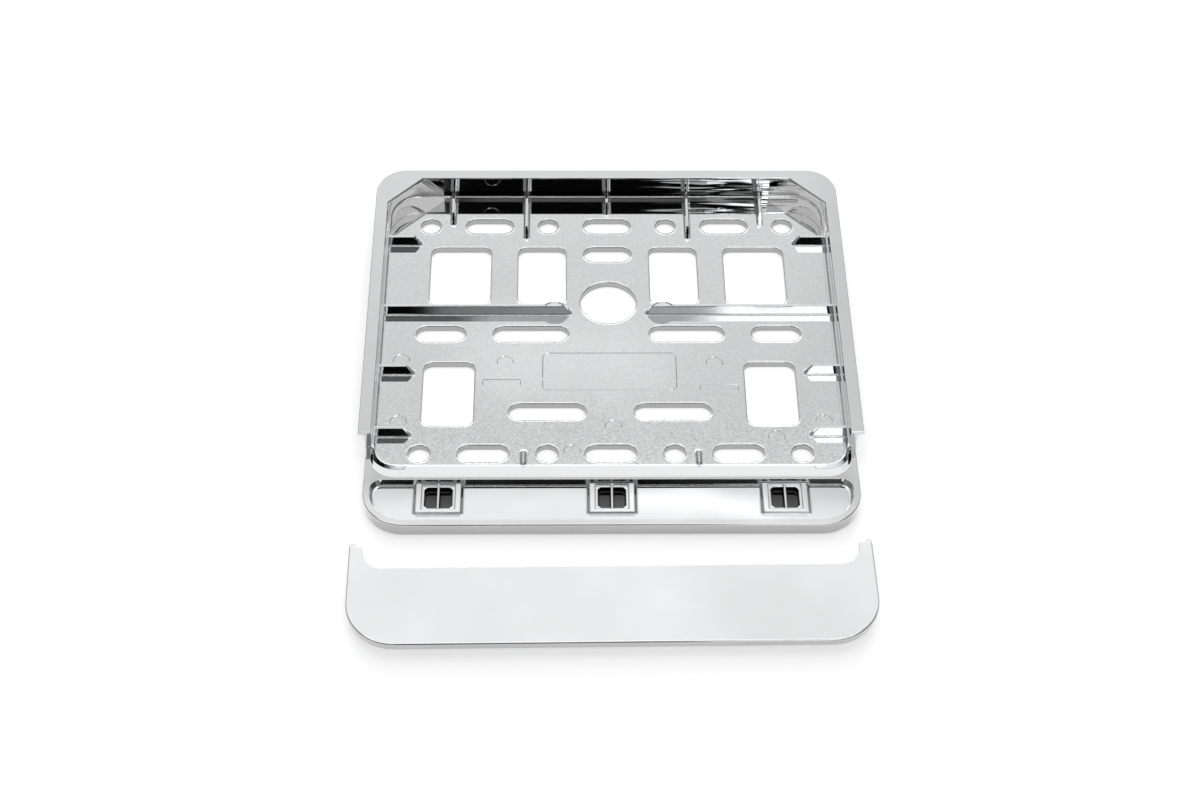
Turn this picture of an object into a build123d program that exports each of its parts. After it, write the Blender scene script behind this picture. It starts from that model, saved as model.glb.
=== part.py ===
from build123d import *

import os

# Motorcycle number plate holder: a moulded tray that takes the plate, with a low bar along its
# lower end, and the cover strip that plugs into the bar, lying in front of it as taken off.
# The origin is on the back face, on the axis of the centre hole: +X to the right, +Y towards the
# plate's upper edge and +Z out of the front. Levels are heights over the back face.

# Number plate and the room round it
plate_width = 190.0
plate_height = 150.0
plate_play = 1.6
hole_to_tray_top = 64.6

# Tray floor, walls and lip
floor_thickness = 3.2
seat_height = 5.0
ledge_width = 0.5
wall_thickness = 2.8
tray_corner_radius = 13.0
holder_height = 14.85
lip_thickness = 1.5
lip_overhang = 2.7
lip_corner_radius = 13.0
lip_corner_brace = 15.0
lip_edge_radius = 0.5
rail_setback = 7.4

# Ramp, rim and pocketed bar at the lower end
rim_height = 3.0
ramp_run = 8.2
ramp_side_run = 1.1
floor_corner_radius = 9.0
rim_corner_radius = 10.5
rim_width = 1.3
pocket_length = 19.9
pocket_draft_angle = 13.0
pocket_rear_radius = 4.5
bar_wall = 2.8
bar_corner_radius = 16.5
bar_edge_radius = 0.6

# Sockets for the cover strip
socket_pitch = 69.2
socket_inset = 7.4
socket_rise = 1.6
socket_flare = 1.0
socket_frame_width = 19.8
socket_frame_front = 15.1
entry_width = 13.4
entry_length = 12.6
entry_depth = 1.0
well_width = 11.2
well_length = 10.4
well_corner = 1.2
well_skin = 1.0
divider_thickness = 0.9

# Ribs that the plate lies on
rib_foot = 2.2
rib_crest = 1.1
rib_root = 0.3
side_rib_length = 14.5
side_rib_slant = 3.2
upper_side_rib_inset = 29.6
lower_side_rib_insets = (15.7, 48.9)
long_rib_row = -5.9
long_rib_end = 15.8
long_rib_slant = 3.2
hump_length = 8.2
hump_height = 1.9
back_rib_slant = 3.2
back_rib_lengths = {0.0: 11.7, 35.6: 26.6, 68.2: 18.1}
stop_rib_column = 35.6
stop_rib_length = 7.7
stop_rib_height = 1.2
stop_rib_foot = 2.6
stop_rib_crest = 0.8

# Openings in the floor
centre_hole_diameter = 24.1
hole_pitch = 26.0
hole_diameter = 8.8
slot_length = 20.9
long_slot_length = 31.9
top_row_inset = 18.8
bottom_row_inset = 6.0
upper_slot_drop = 17.2
middle_row = -17.9
middle_inner_column = 33.2
middle_outer_column = 71.4
lower_slot_inset = 27.9
window_corner_radius = 3.7
upper_window_rear_gap = 8.65
upper_window_front_gap = 4.45
upper_inner_column = 28.6
upper_inner_width = 20.7
upper_outer_column = 64.0
upper_outer_width = 26.2
lower_window_rear_gap = 11.6
lower_window_front_gap = 10.1
lower_window_column = 67.2
lower_window_width = 21.3

# Cover strip
strip_length = 35.0
strip_edge_height = 3.2
strip_thickness = 2.0
strip_skirt = 1.8
strip_corner_radius = 19.5
strip_face_radius = 0.7
horn_width = 5.4
horn_length = 10.3
horn_curve_radius = 8.0
horn_tip_radius = 0.8
tab_length = 2.5
tab_width = 2.2
tab_thickness = 2.2
peg_clearance = 0.3
peg_end_clearance = 0.5
peg_lead = 0.6

# Where the cover strip lies, in front of the bar
strip_gap = 20.9
strip_shift = -0.3
strip_turn = 0.5

# Levels over the back face
floor_top = floor_thickness
rim_top = floor_top + rim_height
seat_level = floor_top + seat_height
lip_underside = holder_height - lip_thickness

# Half widths and rows, counted from the axis of the centre hole
tray_half = plate_width / 2 + plate_play
floor_half = tray_half - ledge_width
wall_half = tray_half + wall_thickness
lip_half = wall_half + lip_overhang
tray_top = hole_to_tray_top
floor_front = tray_top - plate_height - 2 * plate_play
rail_end = floor_front + rail_setback
ramp_end = floor_front - ramp_run
pocket_rear = ramp_end - rim_width
pocket_front = pocket_rear - pocket_length
bar_front = pocket_front - bar_wall
wall_rear = tray_top + wall_thickness
socket_row = pocket_rear - socket_inset
socket_columns = (-socket_pitch, 0.0, socket_pitch)
top_row = tray_top - top_row_inset
bottom_row = floor_front + bottom_row_inset
side_rib_rows = [tray_top - upper_side_rib_inset]
side_rib_rows += [floor_front + inset for inset in lower_side_rib_insets]
upper_window_rear = top_row - hole_diameter / 2 - upper_window_rear_gap
upper_window_front = long_rib_row + upper_window_front_gap
lower_window_rear = middle_row - hole_diameter / 2 - lower_window_rear_gap
lower_window_front = bottom_row + hole_diameter / 2 + lower_window_front_gap
windows = (
    (upper_inner_column, upper_inner_width, upper_window_front, upper_window_rear),
    (upper_outer_column, upper_outer_width, upper_window_front, upper_window_rear),
    (lower_window_column, lower_window_width, lower_window_front, lower_window_rear),
)


def upright(half_width, front, rear, front_radius=0.0, rear_radius=0.0):
    """Rectangle about the centre line, with rounded front and rear corners, in a sketch."""
    with Locations((0, (front + rear) / 2)):
        Rectangle(2 * half_width, rear - front)
    if front_radius > 0:
        fillet(vertices().group_by(Axis.Y)[0], front_radius)
    if rear_radius > 0:
        fillet(vertices().group_by(Axis.Y)[-1], rear_radius)


# Tray, bar and ribs, moulded in one piece
with BuildPart() as holder_base:
    # Body of the back and the bar
    with BuildSketch():
        upright(wall_half, bar_front, wall_rear, bar_corner_radius, lip_corner_radius - lip_overhang)
    extrude(amount=rim_top)

    # Hollow with the ramp round its lower end, which rises from the floor to the rim
    with BuildSketch(Plane.XY.offset(floor_top)):
        upright(floor_half, floor_front, tray_top, floor_corner_radius)
    with BuildSketch(Plane.XY.offset(rim_top)):
        upright(floor_half + ramp_side_run, ramp_end, tray_top, rim_corner_radius)
    loft(ruled=True, mode=Mode.SUBTRACT)

    # Body of the three walls, and the lip that stands out round their top
    with BuildSketch():
        upright(wall_half, rail_end, wall_rear, rear_radius=lip_corner_radius - lip_overhang)
    extrude(amount=holder_height)
    with BuildSketch(Plane.XY.offset(lip_underside)):
        upright(lip_half, rail_end, wall_rear + lip_overhang, rear_radius=lip_corner_radius)
    extrude(amount=lip_thickness)

    # Rounded outer edge of the bar, which runs on round its corners to the walls
    rim_edges = edges().filter_by_position(Axis.Z, rim_top, rim_top)
    fillet(rim_edges.sort_by(Axis.Y)[0], bar_edge_radius)

    # Tray: up to the plate's seat its side walls stand in, which leaves a narrow ledge there
    with BuildSketch(Plane.XY.offset(floor_top)):
        upright(floor_half, floor_front, tray_top, floor_corner_radius, tray_corner_radius)
    extrude(amount=seat_height, mode=Mode.SUBTRACT)
    with BuildSketch(Plane.XY.offset(seat_level)):
        upright(tray_half, rail_end, tray_top, rear_radius=tray_corner_radius)
    extrude(amount=lip_underside - seat_level, mode=Mode.SUBTRACT)

    # Mouth of the tray, where the lip braces the two rear corners
    with BuildSketch(Plane.XY.offset(lip_underside)):
        upright(tray_half, rail_end, tray_top)
        chamfer(vertices().group_by(Axis.Y)[-1], lip_corner_brace)
    extrude(amount=lip_thickness, mode=Mode.SUBTRACT)
    fillet(faces().sort_by(Axis.Z)[-1].edges(), lip_edge_radius)

    # Pocket in the bar
    with BuildSketch(Plane.XY.offset(rim_top)):
        pocket_front_radius = bar_corner_radius - bar_wall
        upright(wall_half - bar_wall, pocket_front, pocket_rear, pocket_front_radius, pocket_rear_radius)
    extrude(amount=-rim_height, taper=pocket_draft_angle, mode=Mode.SUBTRACT)

    # Framed sockets on the pocket's floor, each a stepped well with a divider
    for column in socket_columns:
        for level, flare in ((0, 0), (socket_rise, socket_flare)):
            with BuildSketch(Plane.XY.offset(floor_top + level)):
                with Locations((column, pocket_rear - socket_frame_front / 2)):
                    Rectangle(socket_frame_width - 2 * flare, socket_frame_front)
        loft()
    with BuildSketch(Plane.XY.offset(floor_top + socket_rise)):
        with Locations(*[(column, socket_row) for column in socket_columns]):
            Rectangle(entry_width, entry_length)
    extrude(amount=-entry_depth, mode=Mode.SUBTRACT)
    with BuildSketch(Plane.XY.offset(well_skin)):
        with Locations(*[(column, socket_row) for column in socket_columns]):
            Rectangle(well_width, well_length)
        chamfer(vertices(), well_corner)
    extrude(amount=floor_top + socket_rise - well_skin, mode=Mode.SUBTRACT)
    with BuildSketch(Plane.XY.offset(well_skin)):
        with Locations(*[(column, socket_row) for column in socket_columns]):
            Rectangle(divider_thickness, entry_length)
    extrude(amount=floor_top + socket_rise - well_skin)

    # Seat ribs from the walls inwards, thin at the crest, with the free end slanted:
    # short ones on the side walls, a long pair beside the centre hole, and a row on the rear wall
    ribs = []
    for side in (-1, 1):
        for row in side_rib_rows:
            ribs.append(((side * floor_half, row), (-side, 0), side_rib_length, side_rib_slant))
        long_rib_length = floor_half - long_rib_end
        ribs.append(((side * floor_half, long_rib_row), (-side, 0), long_rib_length, long_rib_slant))
    for column, length in back_rib_lengths.items():
        for place in sorted({-column, column}):
            ribs.append(((place, tray_top), (0, -1), length, back_rib_slant))
    for root, inward, length, slant in ribs:
        foot = Plane(origin=(*root, floor_top), x_dir=(*inward, 0), z_dir=(0, 0, 1))
        with BuildSketch(foot):
            with Locations(((length - rib_root) / 2, 0)):
                Rectangle(length + rib_root, rib_foot)
        with BuildSketch(foot.offset(seat_height)):
            with Locations(((length - slant - rib_root) / 2, 0)):
                Rectangle(length - slant + rib_root, rib_crest)
        loft()

    # Hump on the inner end of each long rib, which takes up the plate's play: its rounded outline
    # stands on the crest, and its faces carry on the slope of the rib's own
    rib_slope = (rib_foot - rib_crest) / 2 / seat_height
    hump_half = rib_crest / 2 - rib_slope * hump_height
    with BuildPart():
        with BuildSketch(Plane.XZ.offset(-long_rib_row)):
            hump_start = long_rib_end + long_rib_slant
            with BuildLine():
                ThreePointArc(
                    (hump_start, seat_level),
                    (hump_start + hump_length / 2, seat_level + hump_height),
                    (hump_start + hump_length, seat_level),
                )
                Line((hump_start + hump_length, seat_level), (hump_start, seat_level))
            make_face()
            mirror(about=Plane.YZ)
        extrude(amount=rib_crest / 2, both=True)
        with BuildSketch(Plane.YZ):
            with BuildLine():
                Polyline(
                    (long_rib_row - rib_crest / 2, seat_level),
                    (long_rib_row + rib_crest / 2, seat_level),
                    (long_rib_row + hump_half, seat_level + hump_height),
                    (long_rib_row - hump_half, seat_level + hump_height),
                    close=True,
                )
            make_face()
        extrude(amount=floor_half, both=True, mode=Mode.INTERSECT)

    # Low stop ribs with rounded ends at the foot of the ramp
    stop_rib_overall = stop_rib_length + rib_root
    for column in (-stop_rib_column, stop_rib_column):
        for level, width in ((0, stop_rib_foot), (stop_rib_height, stop_rib_crest)):
            with BuildSketch(Plane.XY.offset(floor_top + level)):
                with Locations((column, floor_front + stop_rib_length - stop_rib_overall / 2)):
                    SlotOverall(stop_rib_overall - stop_rib_foot + width, width, rotation=90)
        loft()

    # Centre hole, windows, and round holes and slots for the fixing bolts, all through the floor
    with BuildSketch():
        Circle(centre_hole_diameter / 2)
        for column, width, front, rear in windows:
            with Locations((-column, (front + rear) / 2), (column, (front + rear) / 2)):
                RectangleRounded(width, rear - front, window_corner_radius)
        for row in (top_row, bottom_row):
            with Locations(*[(step * hole_pitch, row) for step in (-3, -1, 1, 3)]):
                Circle(hole_diameter / 2)
            with Locations(*[(step * hole_pitch, row) for step in (-2, 0, 2)]):
                SlotOverall(slot_length, hole_diameter)
        with Locations((0, top_row - upper_slot_drop)):
            SlotOverall(slot_length, hole_diameter)
        for side in (-1, 1):
            with Locations((side * middle_outer_column, middle_row)):
                SlotOverall(slot_length, hole_diameter)
            with Locations((side * middle_inner_column, middle_row)):
                SlotOverall(long_slot_length, hole_diameter)
            with Locations((side * hole_pitch, floor_front + lower_slot_inset)):
                SlotOverall(long_slot_length, hole_diameter)
    extrude(amount=floor_thickness, mode=Mode.SUBTRACT)

holder_base.part.label = "holder_base"

# Cover strip, face up on its own pegs: they reach from its face to just over the wells' floors
# when its edge sits on the bar's rim, and line up with the wells when its horns meet the rails.
fitted_face = rim_top + strip_edge_height
face_level = fitted_face - well_skin - peg_end_clearance
edge_level = face_level - strip_edge_height
web_underside = face_level - strip_thickness
peg_row = socket_row - (rail_end - horn_length - strip_length)
strip_plane = Plane(
    origin=(strip_shift, bar_front - strip_gap - strip_length, 0),
    x_dir=Vector(1, 0, 0).rotate(Axis.Z, strip_turn),
    z_dir=(0, 0, 1),
)

with BuildPart() as cover_strip:
    # Strip with a horn at each end, which runs on from the rail above it
    with BuildSketch(strip_plane.offset(edge_level)):
        upright(lip_half, 0, strip_length, strip_corner_radius)
        horn_middle = lip_half - horn_width / 2
        with Locations(*[(side * horn_middle, strip_length + horn_length / 2) for side in (-1, 1)]):
            Rectangle(horn_width, horn_length)
        horn_tips = vertices().group_by(Axis.Y)[-1].sort_by(Axis.X)
        fillet(horn_tips[1:-1], horn_tip_radius)
        horn_inner = lip_half - horn_width
        margin = horn_width / 100
        rear_corners = vertices().filter_by_position(Axis.Y, strip_length - margin, strip_length + margin)
        beside_horns = rear_corners.filter_by_position(Axis.X, -horn_inner - margin, horn_inner + margin)
        fillet(beside_horns, horn_curve_radius)
    extrude(amount=strip_edge_height)

    # Rounded edge along the front, round the corners and up the sides to the tips of the horns
    face_edges = faces().sort_by(Axis.Z)[-1].edges()
    fillet(face_edges.sort_by(Axis.Y)[0], strip_face_radius)

    # Shallow hollow behind the face
    with BuildSketch(strip_plane.offset(edge_level)):
        hollow_radius = strip_corner_radius - strip_skirt
        upright(lip_half - strip_skirt, strip_skirt, strip_length - strip_skirt, hollow_radius)
    extrude(amount=web_underside - edge_level, mode=Mode.SUBTRACT)

    # Tabs that go under the lip beside the walls
    with BuildSketch(strip_plane.offset(edge_level)):
        tab_column = wall_half + lip_overhang / 2
        with Locations(*[(side * tab_column, strip_length + horn_length) for side in (-1, 1)]):
            SlotOverall(2 * tab_length, tab_width, rotation=90)
    extrude(amount=tab_thickness)

    # Split pegs, two prongs that straddle each well's divider, with broken corners and ends
    with BuildSketch(strip_plane):
        with Locations(*[(column, peg_row) for column in socket_columns]):
            Rectangle(well_width - 2 * peg_clearance, well_length - 2 * peg_clearance)
        chamfer(vertices(), well_corner)
        with Locations(*[(column, peg_row) for column in socket_columns]):
            Rectangle(divider_thickness + 2 * peg_clearance, well_length, mode=Mode.SUBTRACT)
    extrude(amount=web_underside)
    chamfer(faces().group_by(Axis.Z)[0].edges(), peg_lead)

cover_strip.part.label = "cover_strip"

os.makedirs("parts", exist_ok=True)
for piece in (holder_base, cover_strip):
    export_step(piece.part, f"parts/{piece.part.label}.step")
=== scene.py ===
from math import cos, pi, radians, sin

import bmesh
import bpy
from mathutils import Matrix, Vector


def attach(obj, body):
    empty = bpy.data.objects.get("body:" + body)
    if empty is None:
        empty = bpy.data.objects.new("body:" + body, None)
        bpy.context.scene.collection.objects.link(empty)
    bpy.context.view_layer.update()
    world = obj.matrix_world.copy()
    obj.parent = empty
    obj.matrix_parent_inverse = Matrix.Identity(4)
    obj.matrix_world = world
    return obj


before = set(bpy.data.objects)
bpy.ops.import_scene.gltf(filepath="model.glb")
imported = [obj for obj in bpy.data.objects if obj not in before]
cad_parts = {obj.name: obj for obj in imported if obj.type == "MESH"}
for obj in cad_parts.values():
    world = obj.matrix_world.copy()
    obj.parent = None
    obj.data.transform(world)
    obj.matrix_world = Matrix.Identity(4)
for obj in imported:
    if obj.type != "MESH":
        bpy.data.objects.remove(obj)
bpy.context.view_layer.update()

# Holder base
# The tray with its ribs, walls, lip, ramp and pocketed bar is one injection moulding in ABS, plated
# with bright chrome. The plating follows the plastic: faint ripples everywhere, and a fine grain on
# the tray floor, where the mould was left less polished than on the lip and the bar.


def node(tree, kind, inputs=(), **settings):
    """Add a node to a tree; each input is a pair of a socket's name and its value or source."""
    made = tree.nodes.new(kind)
    for name, value in settings.items():
        setattr(made, name, value)
    for name, value in inputs:
        if isinstance(value, bpy.types.NodeSocket):
            tree.links.new(value, made.inputs[name])
        else:
            made.inputs[name].default_value = value
    return made


def calc(tree, operation, *values, clamp=False):
    """Result of one step of arithmetic on values or sources."""
    return node(tree, "ShaderNodeMath", enumerate(values), operation=operation, use_clamp=clamp).outputs[0]


def product(tree, first, *others):
    """Product of several masks."""
    result = first
    for other in others:
        result = calc(tree, "MULTIPLY", result, other)
    return result


def ramped(tree, value, start, end, low=0.0, high=1.0):
    """Value that goes from low to high while another goes from start to end."""
    made = node(tree, "ShaderNodeMapRange", [
        ("Value", value), ("From Min", start), ("From Max", end), ("To Min", low), ("To Max", high)])
    return made.outputs[0]


def axes_of(tree, vector):
    """The X, Y and Z of a vector."""
    return node(tree, "ShaderNodeSeparateXYZ", [("Vector", vector)]).outputs


def grey(tone):
    """Grey of one tone as a colour."""
    return (tone, tone, tone, 1.0)


def toned(tree, mask, elsewhere, here):
    """Colour that is one thing where a mask is 1 and another elsewhere."""
    return node(tree, "ShaderNodeMix", [
        (0, mask), (6, elsewhere), (7, here)], data_type="RGBA").outputs[2]


def plated_chrome():
    """Group for chrome on moulded plastic: its height, roughness and tone over the surface."""
    group = bpy.data.node_groups.new("plated_chrome", "ShaderNodeTree")
    face = group.interface
    face.new_socket("Place", in_out="INPUT", socket_type="NodeSocketVector")
    for name in ("Ripple Height", "Wave Height", "Grain Height", "Grain", "Speckle", "Polish", "Haze",
                 "Cloud Scale", "Clouding"):
        face.new_socket(name, in_out="INPUT", socket_type="NodeSocketFloat")
    face.new_socket("Tone", in_out="INPUT", socket_type="NodeSocketColor")
    face.new_socket("Height", in_out="OUTPUT", socket_type="NodeSocketFloat")
    face.new_socket("Roughness", in_out="OUTPUT", socket_type="NodeSocketFloat")
    face.new_socket("Color", in_out="OUTPUT", socket_type="NodeSocketColor")
    given = node(group, "NodeGroupInput").outputs
    place = given["Place"]
    ripples_per_metre = 28.0
    waves_per_metre = (25.0, 25.0, 300.0)
    grains_per_metre = 1100.0
    smooth_detail = 1.0
    fine_detail = 3.0
    grain_roughness = 0.6
    noise_middle = 0.5
    cloud_thin = 0.3
    cloud_thick = 0.7
    clear_part = 0.85
    smeared_part = 1.2
    ripple = node(group, "ShaderNodeTexNoise", [
        ("Vector", place), ("Scale", ripples_per_metre), ("Detail", smooth_detail)]).outputs["Fac"]
    drawn_out = node(group, "ShaderNodeVectorMath", [
        (0, place), (1, waves_per_metre)], operation="MULTIPLY").outputs[0]
    wave = node(group, "ShaderNodeTexNoise", [
        ("Vector", drawn_out), ("Scale", 1.0), ("Detail", smooth_detail)]).outputs["Fac"]
    grain = node(group, "ShaderNodeTexNoise", [
        ("Vector", place), ("Scale", grains_per_metre), ("Detail", fine_detail),
        ("Roughness", grain_roughness)]).outputs["Fac"]
    clouds = node(group, "ShaderNodeTexNoise", [
        ("Vector", place), ("Scale", given["Cloud Scale"]), ("Detail", fine_detail)]).outputs["Fac"]
    ripple_height = calc(group, "MULTIPLY", ripple, given["Ripple Height"])
    wave_height = calc(group, "MULTIPLY_ADD", wave, given["Wave Height"], ripple_height)
    grain_height = product(group, grain, given["Grain Height"], given["Grain"])
    height = calc(group, "ADD", wave_height, grain_height)
    haze = calc(group, "MULTIPLY_ADD", given["Haze"], given["Grain"], given["Polish"])
    smear = ramped(group, clouds, cloud_thin, cloud_thick, clear_part, smeared_part)
    roughness = calc(group, "MULTIPLY", haze, smear)
    cloud_swing = calc(group, "SUBTRACT", clouds, noise_middle)
    cloud_tone = calc(group, "MULTIPLY_ADD", cloud_swing, given["Clouding"], 1.0)
    grain_swing = calc(group, "SUBTRACT", grain, noise_middle)
    speckle = calc(group, "MULTIPLY", grain_swing, given["Speckle"])
    grain_tone = calc(group, "MULTIPLY_ADD", speckle, given["Grain"], cloud_tone)
    tone = node(group, "ShaderNodeMix", [
        (0, 1.0), (6, given["Tone"]), (7, grain_tone)], data_type="RGBA", blend_type="MULTIPLY").outputs[2]
    node(group, "NodeGroupOutput", [("Height", height), ("Roughness", roughness), ("Color", tone)])
    return group


plating = plated_chrome()


def chrome_material(name, tone, settings):
    """Chrome material with the plating's group; a piece finds the nodes that it sets by their names."""
    material = bpy.data.materials.new(name)
    material.use_nodes = True
    tree = material.node_tree
    tree.nodes.clear()
    place = node(tree, "ShaderNodeTexCoord", name="place").outputs["Object"]
    skin = node(tree, "ShaderNodeGroup", node_tree=plating, name="skin")
    tree.links.new(place, skin.inputs["Place"])
    skin.inputs["Tone"].default_value = (*tone, 1.0)
    for socket, value in settings.items():
        skin.inputs[socket].default_value = value
    edge_samples = 8
    rounded = node(tree, "ShaderNodeBevel", samples=edge_samples, name="rounded")
    bump = node(tree, "ShaderNodeBump", [
        ("Strength", 1.0), ("Distance", 1.0), ("Height", skin.outputs["Height"]),
        ("Normal", rounded.outputs["Normal"])], name="bump")
    chrome = node(tree, "ShaderNodeBsdfPrincipled", [
        ("Metallic", 1.0), ("Base Color", skin.outputs["Color"]),
        ("Roughness", skin.outputs["Roughness"]), ("Normal", bump.outputs["Normal"])])
    node(tree, "ShaderNodeOutputMaterial", [("Surface", chrome.outputs["BSDF"])])
    return material


base_tone = (0.66, 0.665, 0.67)
base_finish = {
    "Ripple Height": 4.0e-5, "Grain Height": 3.5e-6, "Speckle": 0.36, "Polish": 0.02, "Haze": 0.015,
    "Cloud Scale": 60.0, "Clouding": 0.08}
base_chrome = chrome_material("base_chrome_plating", base_tone, base_finish)
base_tree = base_chrome.node_tree
base_skin = base_tree.nodes["skin"]
base_rounded = base_tree.nodes["rounded"]
base_place = base_tree.nodes["place"].outputs["Object"]
base_x, base_y, base_z = axes_of(base_tree, base_place)
off_centre = calc(base_tree, "ABSOLUTE", base_x)

# The grain covers the tray floor and gets coarser towards the ramp.
floor_level = 0.0032
level_band = 0.0002
ramp_foot = -0.0886
coarse_from = -0.045
coarse_to = -0.075
coarse_grain = 2.6
over_floor = calc(base_tree, "COMPARE", base_z, floor_level, level_band)
behind_ramp = calc(base_tree, "GREATER_THAN", base_y, ramp_foot)
coarseness = ramped(base_tree, base_y, coarse_from, coarse_to, 1.0, coarse_grain)
on_tray_floor = product(base_tree, over_floor, behind_ramp, coarseness)
base_tree.links.new(on_tray_floor, base_skin.inputs["Grain"])

# The openings' edges are the roundest, those of the sockets' frames less so, those higher up are
# crisp, and the foot of the pocket's rear wall is sharp.
opening_edge = 1.3e-3
frame_edge = 7.0e-4
crisp_edge = 3.0e-4
sharp_edge = 1.5e-4
openings_below = 0.0034
frames_from = openings_below + level_band
frames_below = 0.0052
pocket_rear = -0.0981
pocket_foot_reach = 0.0012
low_edge = ramped(base_tree, base_z, openings_below, frames_from, opening_edge, frame_edge)
over_frames = calc(base_tree, "GREATER_THAN", base_z, frames_below)
at_pocket_foot = calc(base_tree, "COMPARE", base_y, pocket_rear, pocket_foot_reach)
edge_by_height = node(base_tree, "ShaderNodeMix", [
    (0, over_frames), (2, low_edge), (3, crisp_edge)]).outputs[0]
edge_here = node(base_tree, "ShaderNodeMix", [
    (0, at_pocket_foot), (2, edge_by_height), (3, sharp_edge)]).outputs[0]
base_tree.links.new(edge_here, base_rounded.inputs["Radius"])

# The way each face looks tells the tray's inside from its outside and its flat back.
flat_back = 0.0003
upright_limit = 0.5
facing = node(base_tree, "ShaderNodeNewGeometry").outputs["True Normal"]
facing_axes = axes_of(base_tree, facing)
to_front = calc(base_tree, "MULTIPLY", facing_axes["Y"], -1.0, clamp=True)
above_back = calc(base_tree, "GREATER_THAN", base_z, flat_back)

# Each rear corner is shaded as if closed by a slanting face under the lip, and its tone there, floor
# included, is raised as a painted highlight.
under_lip = 0.0136
corner_painted_highlight_tone = 0.93
corner_floor_from = 0.1348
corner_slant = 0.707
outwards_limit = -0.1
side_sign = calc(base_tree, "SIGN", base_x)
to_corner = calc(base_tree, "ADD", off_centre, base_y)
slant_x = calc(base_tree, "MULTIPLY", side_sign, -corner_slant)
slant = node(base_tree, "ShaderNodeCombineXYZ", [("X", slant_x), ("Y", -corner_slant)]).outputs[0]
inwards = node(base_tree, "ShaderNodeVectorMath", [
    (0, facing), (1, slant)], operation="DOT_PRODUCT").outputs["Value"]
near_corner = calc(base_tree, "GREATER_THAN", to_corner, corner_floor_from)
below_lip = calc(base_tree, "LESS_THAN", base_z, under_lip)
not_outside = calc(base_tree, "GREATER_THAN", inwards, outwards_limit)
in_corner = product(base_tree, near_corner, below_lip, not_outside, above_back)
tone_by_place = toned(base_tree, in_corner, (*base_tone, 1.0), grey(corner_painted_highlight_tone))

# The bar's front face has a darker tone, painted shade for the shadowed table it mirrors, which fades out
# round its corners.
bar_shade_from = -0.1135
bar_shade_full = -0.1165
bar_shade_top = 0.0055
bar_front_painted_shade_tone = 0.50
before_bar = ramped(base_tree, base_y, bar_shade_from, bar_shade_full)
below_bar_edge = calc(base_tree, "LESS_THAN", base_z, bar_shade_top)
on_bar_front = product(base_tree, before_bar, below_bar_edge, to_front)
tone_by_place = toned(base_tree, on_bar_front, tone_by_place, grey(bar_front_painted_shade_tone))

# The flat rim round the bar's pocket has a slightly darker tone too, a painted shade on its reflection,
# except at its ends.
rim_painted_shade_tone = 0.585
rim_level = 0.0061
rim_from = -0.0880
rim_full = -0.0970
rim_ends_from = 0.0940
rim_ends_full = 0.0990
at_rim = calc(base_tree, "COMPARE", base_z, rim_level, level_band)
round_pocket = ramped(base_tree, base_y, rim_from, rim_full)
off_ends = ramped(base_tree, off_centre, rim_ends_full, rim_ends_from)
looks_up = calc(base_tree, "GREATER_THAN", facing_axes["Z"], upright_limit)
on_rim = product(base_tree, at_rim, round_pocket, off_ends, looks_up)
tone_by_place = toned(base_tree, on_rim, tone_by_place, grey(rim_painted_shade_tone))

# The foot of the rear wall leans back more than the ribs do, and it is darkened as painted shade.
rear_wall = 0.0640
foot_top = 0.0066
foot_lean = 0.135
foot_painted_shade_tone = 0.115
behind_floor = calc(base_tree, "GREATER_THAN", base_y, rear_wall)
at_rear = product(base_tree, behind_floor, to_front)
off_floor = calc(base_tree, "GREATER_THAN", base_z, floor_level + level_band)
below_foot_top = calc(base_tree, "LESS_THAN", base_z, foot_top)
rear_foot = product(base_tree, off_floor, below_foot_top, at_rear)
between_corners = calc(base_tree, "LESS_THAN", to_corner, corner_floor_from)
painted_shade_foot = product(base_tree, rear_foot, between_corners)
tone_by_place = toned(base_tree, painted_shade_foot, tone_by_place, grey(foot_painted_shade_tone))
lean = calc(base_tree, "MULTIPLY", rear_foot, foot_lean)
lean_upwards = node(base_tree, "ShaderNodeCombineXYZ", [("Z", lean)]).outputs[0]
leaning = node(base_tree, "ShaderNodeVectorMath", [
    (0, base_rounded.outputs["Normal"]), (1, lean_upwards)], operation="ADD").outputs[0]

# The walls of the floor's openings are darkened below the floor's tone, as painted shade in the recesses.
opening_painted_shade_tone = 0.40
opening_top = 0.00315
openings_half_width = 0.0900
openings_middle = -0.0140
openings_half_length = 0.0740
flatness = calc(base_tree, "ABSOLUTE", facing_axes["Z"])
on_steep = calc(base_tree, "LESS_THAN", flatness, upright_limit)
below_floor = calc(base_tree, "LESS_THAN", base_z, opening_top)
opening_column = calc(base_tree, "LESS_THAN", off_centre, openings_half_width)
opening_row = calc(base_tree, "COMPARE", base_y, openings_middle, openings_half_length)
in_opening = product(base_tree, on_steep, below_floor, opening_column, opening_row)
tone_by_place = toned(base_tree, in_opening, tone_by_place, grey(opening_painted_shade_tone))

# The sockets' deep wells are darkened as painted shade, darkest at the back.
socket_pitch = 0.0692
socket_row = -0.1055
well_half_width = 0.0058
well_half_length = 0.0054
well_rim = 0.0037
well_back_painted_shade = 0.035
well_front_painted_shade = 0.09
well_front = socket_row - well_half_length
well_back = socket_row + well_half_length
column_shift = calc(base_tree, "PINGPONG", base_x, socket_pitch / 2)
well_column = calc(base_tree, "LESS_THAN", column_shift, well_half_width)
well_row = calc(base_tree, "COMPARE", base_y, socket_row, well_half_length)
well_deep = calc(base_tree, "LESS_THAN", base_z, well_rim)
in_well = product(base_tree, well_column, well_row, well_deep, above_back)
well_painted_shade = ramped(base_tree, base_y, well_front, well_back, well_front_painted_shade, well_back_painted_shade)
tone_by_place = toned(base_tree, in_well, tone_by_place, well_painted_shade)
base_tree.links.new(tone_by_place, base_skin.inputs["Tone"])

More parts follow.
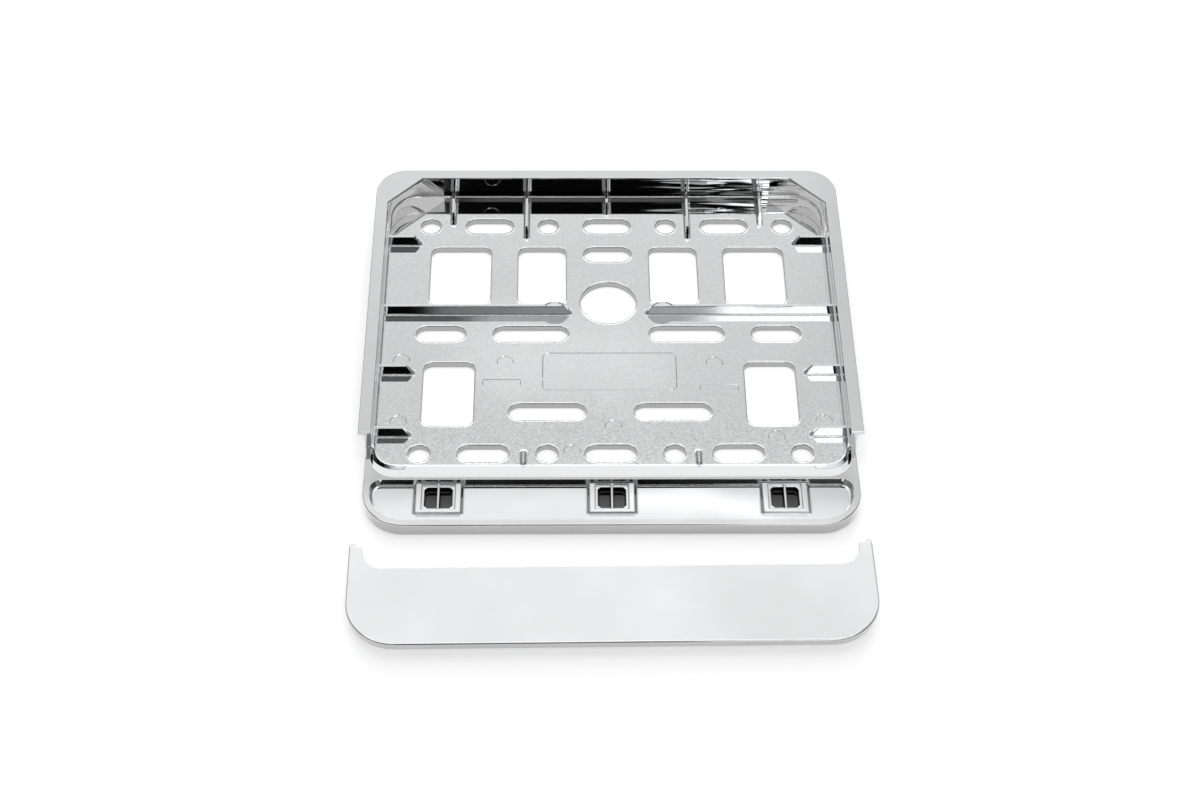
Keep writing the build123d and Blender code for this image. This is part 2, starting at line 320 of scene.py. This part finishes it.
# The slanting faces of the rear corners reach from the floor to the lip.
corner_face_from = 0.1376
slant_top = under_lip - 3 * level_band
inwards_limit = 0.1
corner_face = calc(base_tree, "GREATER_THAN", to_corner, corner_face_from)
below_slant_top = calc(base_tree, "LESS_THAN", base_z, slant_top)
looks_inwards = calc(base_tree, "GREATER_THAN", inwards, inwards_limit)
on_slant = product(base_tree, corner_face, off_floor, below_slant_top, looks_inwards)
slanted_normal = node(base_tree, "ShaderNodeMix", [
    (0, on_slant), (4, leaning), (5, slant)], data_type="VECTOR").outputs[1]

# The ramp runs softly round into its two corners.
ramp_corner_from = 0.1762
ramp_end = -0.0970
ramp_steepest = 0.2
ramp_normal = (0.0, 0.342, 0.940)
ramp_softness = 0.85
ramp_foot_level = 0.00323
to_ramp_corner = calc(base_tree, "SUBTRACT", off_centre, base_y)
round_corner = calc(base_tree, "GREATER_THAN", to_ramp_corner, ramp_corner_from)
behind_pocket = calc(base_tree, "GREATER_THAN", base_y, ramp_end)
below_rim = calc(base_tree, "LESS_THAN", base_z, rim_level)
on_slope = calc(base_tree, "GREATER_THAN", facing_axes["Z"], ramp_steepest)
above_ramp_foot = calc(base_tree, "GREATER_THAN", base_z, ramp_foot_level)
on_bend = product(base_tree, round_corner, behind_pocket, below_rim, on_slope, above_ramp_foot)
softened = calc(base_tree, "MULTIPLY", on_bend, ramp_softness)
bent_normal = node(base_tree, "ShaderNodeMix", [
    (0, softened), (4, slanted_normal), (5, ramp_normal)], data_type="VECTOR").outputs[1]
shaped_normal = node(base_tree, "ShaderNodeVectorMath", [(0, bent_normal)], operation="NORMALIZE").outputs[0]
base_tree.links.new(shaped_normal, base_tree.nodes["bump"].inputs["Normal"])

# The right part of the rear wall is drawn into streaks.
streaks_from = 0.005
streaks_to = 0.045
streak_height = 6.5e-4
streaks = ramped(base_tree, base_x, streaks_from, streaks_to, 0.0, streak_height)
streaks_here = product(base_tree, streaks, at_rear)
base_tree.links.new(streaks_here, base_skin.inputs["Wave Height"])

holder_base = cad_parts["holder_base"]
holder_base.data.materials.clear()
holder_base.data.materials.append(base_chrome)

# Moulding marks
# The mould leaves fine lines on the tray floor: half rings at the rear of its ejector pins, a plain
# frame with rounded corners below the centre hole, and a short bracket on each side of that frame.


def bead(mesh, path, closed, height):
    """Add a low ridge, as wide on each side as it is high, along a path of points on the tray floor."""
    count = len(path)
    rows = []
    for index, point in enumerate(path):
        before = path[index - 1] if closed or index else point
        after = path[(index + 1) % count] if closed or index < count - 1 else point
        along = (after - before).normalized()
        across = Vector((-along.y, along.x)) * height
        foot_a = mesh.verts.new((*(point + across), floor_level))
        crest = mesh.verts.new((*point, floor_level + height))
        foot_b = mesh.verts.new((*(point - across), floor_level))
        rows.append((foot_a, crest, foot_b))
    last = count if closed else count - 1
    for index in range(last):
        here = rows[index]
        there = rows[(index + 1) % count]
        mesh.faces.new((here[0], here[1], there[1], there[0]))
        mesh.faces.new((here[1], here[2], there[2], there[1]))
        mesh.faces.new((here[2], here[0], there[0], there[2]))
    if not closed:
        mesh.faces.new(rows[0])
        mesh.faces.new(rows[-1])


pin_radius = 0.0034
pin_places = (
    (-0.0874, -0.0327), (-0.0438, -0.0337), (-0.0872, -0.0660), (-0.0158, -0.0816), (0.0442, -0.0343),
    (0.0880, -0.0659), (0.0012, -0.0686), (0.0679, -0.0743), (-0.0515, 0.0540), (0.0515, 0.0540))
ring_bead = 1.4e-4
ring_steps = 30
ring_from = radians(-15.0)
ring_to = radians(195.0)
ring_turns = [ring_from + (ring_to - ring_from) * step / ring_steps for step in range(ring_steps + 1)]
marks_mesh = bmesh.new()
for x, y in pin_places:
    ring = [Vector((x + pin_radius * cos(turn), y + pin_radius * sin(turn))) for turn in ring_turns]
    bead(marks_mesh, ring, False, ring_bead)

frame_bead = 1.5e-4
frame_half_width = 0.0280
frame_rear = -0.0287
frame_front = -0.0490
frame_corner = 0.0025
corner_steps = 6
frame_corners = ((1, frame_rear), (-1, frame_rear), (-1, frame_front), (1, frame_front))
frame_path = []
for quarter, (side, end) in enumerate(frame_corners):
    inward = -frame_corner if end == frame_rear else frame_corner
    middle = Vector((side * (frame_half_width - frame_corner), end + inward))
    for step in range(corner_steps + 1):
        turn = (quarter + step / corner_steps) * pi / 2
        frame_path.append(middle + frame_corner * Vector((cos(turn), sin(turn))))
bead(marks_mesh, frame_path, True, frame_bead)

bracket_bead = 2.2e-4
bracket_tick = 0.0026
brackets = ((-0.0530, -0.0373, -0.0433), (0.0377, 0.0535, -0.0461))
for left, right, row in brackets:
    tick_end = row - bracket_tick
    bracket_path = [
        Vector((left, tick_end)), Vector((left, row)), Vector((right, row)), Vector((right, tick_end))]
    bead(marks_mesh, bracket_path, False, bracket_bead)

bmesh.ops.recalc_face_normals(marks_mesh, faces=marks_mesh.faces)
marks_data = bpy.data.meshes.new("moulding_marks")
marks_mesh.to_mesh(marks_data)
marks_mesh.free()
moulding_marks = bpy.data.objects.new("moulding_marks", marks_data)
bpy.context.scene.collection.objects.link(moulding_marks)
mark_chrome = chrome_material("mark_chrome_plating", base_tone, base_finish)
mark_chrome.node_tree.nodes["rounded"].inputs["Radius"].default_value = 0.0
marks_data.materials.append(mark_chrome)
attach(moulding_marks, "root")

# Cover strip
# The strip that plugs into the bar's sockets is a second ABS moulding with the same chrome. Its
# face shows on the fitted holder, so its mould was polished, and it carries only soft ripples. Its
# front edge has a darker tone, painted shade for the shadowed table it mirrors, as the bar's has.

strip_tone = (0.68, 0.685, 0.69)
strip_front_painted_shade_tone = 0.54
strip_edge = 3.0e-4
strip_finish = {"Ripple Height": 6.0e-5, "Polish": 0.03, "Cloud Scale": 24.0, "Clouding": 0.2}
strip_chrome = chrome_material("strip_chrome_plating", strip_tone, strip_finish)
strip_tree = strip_chrome.node_tree
strip_tree.nodes["rounded"].inputs["Radius"].default_value = strip_edge
strip_facing = node(strip_tree, "ShaderNodeNewGeometry").outputs["True Normal"]
strip_facing_axes = axes_of(strip_tree, strip_facing)
on_strip_front = calc(strip_tree, "MULTIPLY", strip_facing_axes["Y"], -1.0, clamp=True)
strip_tone_by_face = toned(strip_tree, on_strip_front, (*strip_tone, 1.0), grey(strip_front_painted_shade_tone))
strip_tree.links.new(strip_tone_by_face, strip_tree.nodes["skin"].inputs["Tone"])
cover_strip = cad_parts["cover_strip"]
cover_strip.data.materials.clear()
cover_strip.data.materials.append(strip_chrome)

# Studio floor
# A white table. Its own light joins only what the camera and the chrome see of it, so the table is
# white in the picture and in the reflections, and still takes the soft shadows of the pieces. Under
# the tray's openings that light is stronger: painted light that lightens the shadows there.

table_half = 3.0
table_level = -1.0e-4
table_tone = 0.82
table_glow = 0.425
painted_light_under_openings = 0.60
table_corners = (
    (-table_half, -table_half, table_level), (table_half, -table_half, table_level),
    (table_half, table_half, table_level), (-table_half, table_half, table_level))
table_data = bpy.data.meshes.new("table")
table_data.from_pydata(table_corners, [], [(0, 1, 2, 3)])
table = bpy.data.objects.new("table", table_data)
bpy.context.scene.collection.objects.link(table)
table_white = bpy.data.materials.new("table_white")
table_white.use_nodes = True
table_tree = table_white.node_tree
table_tree.nodes.clear()
table_ray = node(table_tree, "ShaderNodeLightPath").outputs
seen_or_mirrored = calc(table_tree, "ADD", table_ray["Is Camera Ray"], table_ray["Is Glossy Ray"])
table_seen = calc(table_tree, "ADD", seen_or_mirrored, table_ray["Is Transmission Ray"], clamp=True)
table_place = node(table_tree, "ShaderNodeTexCoord").outputs["Object"]
table_axes = axes_of(table_tree, table_place)
table_aside = calc(table_tree, "ABSOLUTE", table_axes["X"])
under_column = calc(table_tree, "LESS_THAN", table_aside, openings_half_width)
under_row = calc(table_tree, "COMPARE", table_axes["Y"], openings_middle, openings_half_length)
under_openings = product(table_tree, under_column, under_row)
# Painted light: the table's own light is raised under the tray's openings.
glow_here = calc(table_tree, "MULTIPLY_ADD", under_openings, painted_light_under_openings - table_glow, table_glow)
table_light = calc(table_tree, "MULTIPLY", table_seen, glow_here)
table_shader = node(table_tree, "ShaderNodeBsdfDiffuse", [("Color", grey(table_tone))])
table_emission = node(table_tree, "ShaderNodeEmission", [("Strength", table_light)])
table_sum = node(table_tree, "ShaderNodeAddShader", [
    (0, table_shader.outputs[0]), (1, table_emission.outputs[0])])
node(table_tree, "ShaderNodeOutputMaterial", [("Surface", table_sum.outputs[0])])
table_data.materials.append(table_white)

# Studio light
# White walls all round and a soft box overhead, which starts a little above the height at which the
# tray mirrors the rear wall. The front is dark, with a black screen on its stand and a bright panel
# beside it. Angles are in degrees: aside from the front, positive to the right, and upwards.

studio = bpy.data.worlds.new("studio")
studio.use_nodes = True
bpy.context.scene.world = studio
sky = studio.node_tree
sky.nodes.clear()
direction = node(sky, "ShaderNodeTexCoord").outputs["Generated"]
to_right, to_rear, upwards = axes_of(sky, direction)
frontwards = calc(sky, "MULTIPLY", to_rear, -1.0)
elevation = calc(sky, "DEGREES", calc(sky, "ARCSINE", upwards))
azimuth = calc(sky, "DEGREES", calc(sky, "ARCTAN2", to_right, frontwards))
aside = calc(sky, "ABSOLUTE", azimuth)
panel_lean = -0.29
slanted = calc(sky, "MULTIPLY_ADD", elevation, panel_lean, azimuth)


def step_up(angle, low, high):
    """Soft step from 0 below one angle to 1 above another."""
    return node(sky, "ShaderNodeMapRange", [
        ("Value", angle), ("From Min", low), ("From Max", high)], interpolation_type="SMOOTHSTEP").outputs[0]


def span(angle, low, high, soft):
    """Mask between two angles, with soft ends."""
    rise = step_up(angle, low - soft, low + soft)
    fall = node(sky, "ShaderNodeMapRange", [
        ("Value", angle), ("From Min", high - soft), ("From Max", high + soft), ("To Min", 1.0),
        ("To Max", 0.0)], interpolation_type="SMOOTHSTEP").outputs[0]
    return product(sky, rise, fall)


def level(mask, elsewhere, here):
    """Brightness that is one thing where a mask is 1 and another elsewhere."""
    return node(sky, "ShaderNodeMix", [(0, mask), (2, elsewhere), (3, here)]).outputs[0]


def patch(before, angle, start, end, side_blur, bottom, top, edge_blur, brightness):
    """The light before, with one more patch between two angles aside and two angles upwards."""
    mask = product(sky, span(angle, start, end, side_blur), span(elevation, bottom, top, edge_blur))
    return level(mask, before, brightness)


# Walls, which fade upwards, with lamps low at the rear. A patch that takes in the very front, the
# very rear or the table ends past it, so that its soft end lies out of the way.
past_front = -10.0
past_rear = 200.0
past_table = -20.0
wall_low = 1.25
wall_high = 0.88
fade_from = 30.0
fade_to = 51.5
rear_lamps = 2.6
light = level(ramped(sky, elevation, fade_from, fade_to), wall_low, wall_high)
light = patch(light, aside, start=155.0, end=past_rear, side_blur=3.0,
              bottom=18.0, top=41.0, edge_blur=1.5, brightness=rear_lamps)

# Dark sides, the left one lighter, and a dark front
left_side = 0.3
right_side = 0.1
rear_side = 0.5
front_wall = 0.35
side_wall = 0.58
low_side = level(step_up(azimuth, low=-5.0, high=5.0), left_side, right_side)
low_side = level(step_up(aside, low=107.0, high=117.0), low_side, rear_side)
light = patch(light, aside, start=45.0, end=152.0, side_blur=5.0,
              bottom=past_table, top=40.0, edge_blur=1.5, brightness=low_side)
light = patch(light, aside, start=past_front, end=45.0, side_blur=5.0,
              bottom=past_table, top=53.0, edge_blur=0.8, brightness=front_wall)
light = patch(light, aside, start=45.0, end=130.0, side_blur=5.0,
              bottom=40.0, top=53.0, edge_blur=1.0, brightness=side_wall)

# The rear wall is a little lighter behind the middle of the tray and darker to the right.
rear_middle = 1.08
rear_right = 0.86
light = patch(light, aside, start=175.75, end=past_rear, side_blur=2.25,
              bottom=48.2, top=50.2, edge_blur=0.8, brightness=rear_middle)
light = patch(light, azimuth, start=150.0, end=170.2, side_blur=1.2,
              bottom=42.0, top=50.5, edge_blur=1.0, brightness=rear_right)

# The soft box, with a bright spot at its lower edge, a brighter middle, and dark sides
soft_box = 1.27
soft_box_far = 1.22
soft_box_right = 1.13
soft_box_middle = 2.0
soft_box_spot = 1.6
light = level(step_up(elevation, low=52.2, high=53.2), light, soft_box)
light = patch(light, azimuth, start=170.7, end=177.7, side_blur=1.0,
              bottom=52.8, top=53.3, edge_blur=0.3, brightness=soft_box_spot)
light = level(step_up(elevation, low=53.4, high=53.8), light, soft_box_far)
light = patch(light, azimuth, start=150.0, end=172.0, side_blur=3.0,
              bottom=55.0, top=62.0, edge_blur=1.0, brightness=soft_box_right)
light = patch(light, aside, start=80.0, end=130.0, side_blur=5.0,
              bottom=53.0, top=63.0, edge_blur=1.5, brightness=right_side)
light = level(step_up(elevation, low=63.0, high=68.0), light, soft_box_middle)

# Dim ceiling over the front, with a lighter gap and the dark above it
dark = 0.003
dim = 0.2
ceiling_gap = 0.8
light = patch(light, aside, start=past_front, end=80.0, side_blur=10.0,
              bottom=53.5, top=85.0, edge_blur=0.8, brightness=dim)
light = patch(light, azimuth, start=-5.0, end=7.5, side_blur=0.6,
              bottom=54.0, top=66.0, edge_blur=0.8, brightness=ceiling_gap)
light = patch(light, azimuth, start=-20.0, end=20.0, side_blur=3.0,
              bottom=67.0, top=84.0, edge_blur=1.0, brightness=dark)

# The black screen: its stand with light on both sides, its wide part and its narrow top
beside_stand = 2.0
light = patch(light, azimuth, start=-3.8, end=5.8, side_blur=0.5,
              bottom=8.0, top=26.0, edge_blur=1.0, brightness=dark)
light = patch(light, aside, start=4.6, end=12.0, side_blur=0.6,
              bottom=12.0, top=25.2, edge_blur=1.0, brightness=beside_stand)
light = patch(light, azimuth, start=-14.0, end=12.0, side_blur=1.0,
              bottom=26.0, top=42.0, edge_blur=0.8, brightness=dark)
light = patch(light, azimuth, start=-4.9, end=9.0, side_blur=0.3,
              bottom=42.0, top=53.5, edge_blur=0.8, brightness=dark)

# Grey background between the screen and the panel, the panel, which leans, and the wall over it
gap_left = 0.3
gap_right = 0.8
gap_half_angle = 4.5
panel = 2.4
right_wall = 0.95
gap_level = ramped(sky, azimuth, -gap_half_angle, gap_half_angle, gap_left, gap_right)
light = patch(light, azimuth, start=-4.4, end=6.5, side_blur=0.3,
              bottom=32.0, top=40.5, edge_blur=0.8, brightness=gap_level)
light = patch(light, slanted, start=-5.3, end=42.0, side_blur=0.6,
              bottom=34.7, top=42.0, edge_blur=0.3, brightness=panel)
light = patch(light, azimuth, start=7.5, end=40.0, side_blur=1.0,
              bottom=54.0, top=66.0, edge_blur=0.8, brightness=panel)
light = patch(light, slanted, start=-5.7, end=42.0, side_blur=0.5,
              bottom=42.5, top=53.0, edge_blur=0.8, brightness=right_wall)

# The camera itself sees plain white.
plain_white = 1.0
seen_by_camera = node(sky, "ShaderNodeLightPath").outputs["Is Camera Ray"]
light = level(seen_by_camera, light, plain_white)
background = node(sky, "ShaderNodeBackground", [("Color", grey(plain_white)), ("Strength", light)])
node(sky, "ShaderNodeOutputWorld", [("Surface", background.outputs[0])])

# Camera
# A longer lens on a stand in front of the table, looking down on the tray from about half a right
# angle and turned a little to the right, with the picture's own small roll.

camera_place = Vector((-0.018441, -0.610267, 0.674105))
look_down = radians(50.31)
look_right = radians(1.468)
roll = radians(1.051)
picture_width = 1200
focal_pixels = 2101.764
sensor_width = 36.0
nearest = 0.01
forward = Vector((sin(look_right) * cos(look_down), cos(look_right) * cos(look_down), -sin(look_down)))
level_right = Vector((cos(look_right), -sin(look_right), 0.0))
level_up = level_right.cross(forward)
rightward = cos(roll) * level_right + sin(roll) * level_up
upward = cos(roll) * level_up - sin(roll) * level_right
lens = bpy.data.cameras.new("camera")
lens.sensor_fit = "HORIZONTAL"
lens.sensor_width = sensor_width
lens.lens = sensor_width * focal_pixels / picture_width
lens.clip_start = nearest
camera = bpy.data.objects.new("camera", lens)
bpy.context.scene.collection.objects.link(camera)
camera_turn = Matrix((rightward, upward, -forward)).transposed()
camera.matrix_world = Matrix.Translation(camera_place) @ camera_turn.to_4x4()
bpy.context.scene.camera = camera
bpy.context.scene.view_settings.view_transform = "Standard"
